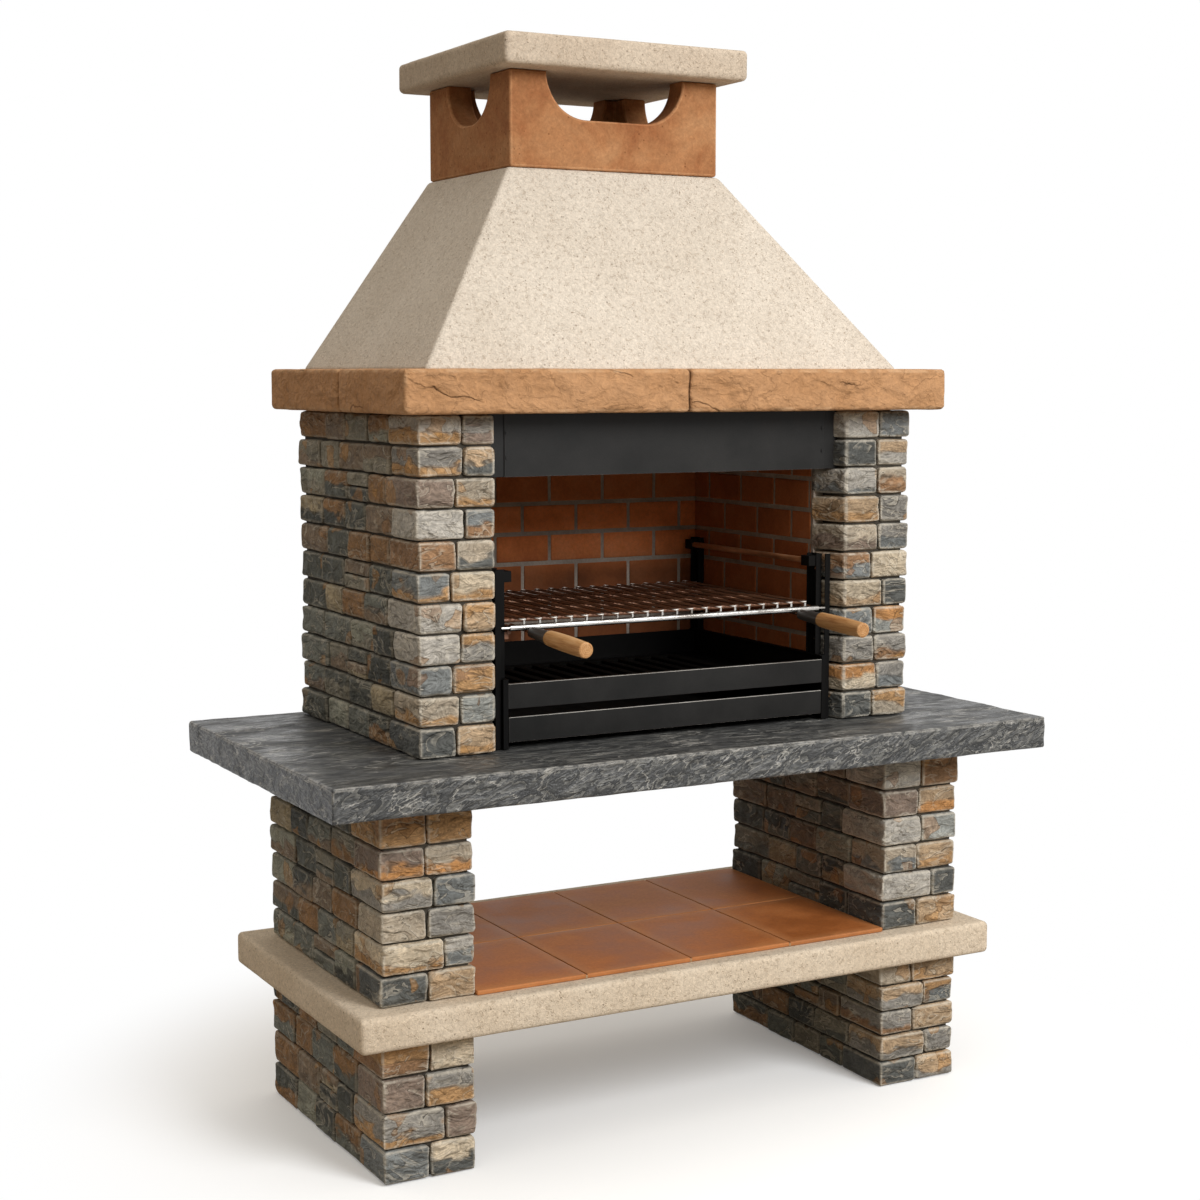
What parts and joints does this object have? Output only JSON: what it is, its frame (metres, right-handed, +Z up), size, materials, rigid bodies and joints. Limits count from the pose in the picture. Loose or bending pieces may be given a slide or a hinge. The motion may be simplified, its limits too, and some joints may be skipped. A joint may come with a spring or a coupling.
{
  "type": "masonry barbecue",
  "caption": "Stone-clad masonry barbecue with hood and chimney, slate worktop, tiled log shelf, height-adjustable pull-out grill and ash drawer.",
  "frame": {"origin": "on the floor, below the middle of the whole outline", "axes": "+Z up, +Y from the cooking side to the back, +X to the right of a cook who faces it"},
  "size_m": [1.832, 1.0514, 2.478],
  "materials": {
    "split_stone": "split, matt, grey to ochre",
    "core_concrete": "cast, matt",
    "cream_concrete": "granular, matt",
    "slate": "riven, satin, with pale veins",
    "terracotta_tile": "unglazed, satin",
    "grout": "matt",
    "firebrick": "matt",
    "mantel_stone": "split face, matt",
    "collar_terracotta": "mottled, matt",
    "black_steel": "satin heat-proof paint",
    "cast_iron": "rough",
    "chrome": "bright plating",
    "handle_wood": "turned, oiled"
  },
  "bodies": {
    "root": {"back_firebricks": "firebrick", "back_mortar_bed": "grout", "base_back_plate": "black_steel", "base_front_panel": "black_steel", "base_left_side": "black_steel", "base_right_side": "black_steel", "charcoal_grate": "cast_iron", "chimney_cap": "cream_concrete", "chimney_collar": "collar_terracotta", "drawer_runners": "black_steel", "ember_floor": "black_steel", "firebox_back_panel": "core_concrete", "front_edge_strips": "black_steel", "front_left_upright": "black_steel", "front_right_upright": "black_steel", "hood": "cream_concrete", "left_firebricks": "firebrick", "left_lower_leg_core": "core_concrete", "left_lower_leg_stones": "split_stone", "left_mortar_bed": "grout", "left_upper_leg_core": "core_concrete", "left_upper_leg_stones": "split_stone", "left_wall_core": "core_concrete", "left_wall_stones": "split_stone", "mantel_front_left": "mantel_stone", "mantel_front_right": "mantel_stone", "mantel_rear_left": "mantel_stone", "mantel_rear_right": "mantel_stone", "rear_left_upright": "black_steel", "rear_right_upright": "black_steel", "right_firebricks": "firebrick", "right_lower_leg_core": "core_concrete", "right_lower_leg_stones": "split_stone", "right_mortar_bed": "grout", "right_upper_leg_core": "core_concrete", "right_upper_leg_stones": "split_stone", "right_wall_core": "core_concrete", "right_wall_stones": "split_stone", "rod_end_blocks": "black_steel", "shelf_slab": "cream_concrete", "shelf_tiles": "terracotta_tile", "tile_grout": "grout", "upper_rods": "chrome", "upright_screws": "chrome", "visor_panel": "black_steel", "visor_rivets": "black_steel", "visor_side_strips": "black_steel", "worktop_slab": "slate"},
    "carrier": {"left_carrier_rail": "chrome", "right_carrier_rail": "chrome", "carrier_rear_bar": "chrome"},
    "grill": {"grate_frame_bars": "chrome", "grate_wires": "chrome", "grate_pins": "chrome", "grill_front_bar": "chrome", "handle_rods": "chrome", "handle_ferrules": "black_steel", "handle_grips": "handle_wood"},
    "ash_drawer": {"ash_drawer_box": "black_steel", "ash_drawer_front": "black_steel"}
  },
  "joints": [
    {"name": "grill_lift", "type": "slide", "parent": "root", "child": "carrier", "axis": [0, 0, 1], "range_m": [-0.08, 0.08]},
    {"name": "grill_pull", "type": "slide", "parent": "carrier", "child": "grill", "axis": [0, -1, 0], "range_m": [0, 0.4]},
    {"name": "ash_drawer_slide", "type": "slide", "parent": "root", "child": "ash_drawer", "axis": [0, -1, 0], "range_m": [0, 0.42]}
  ]
}
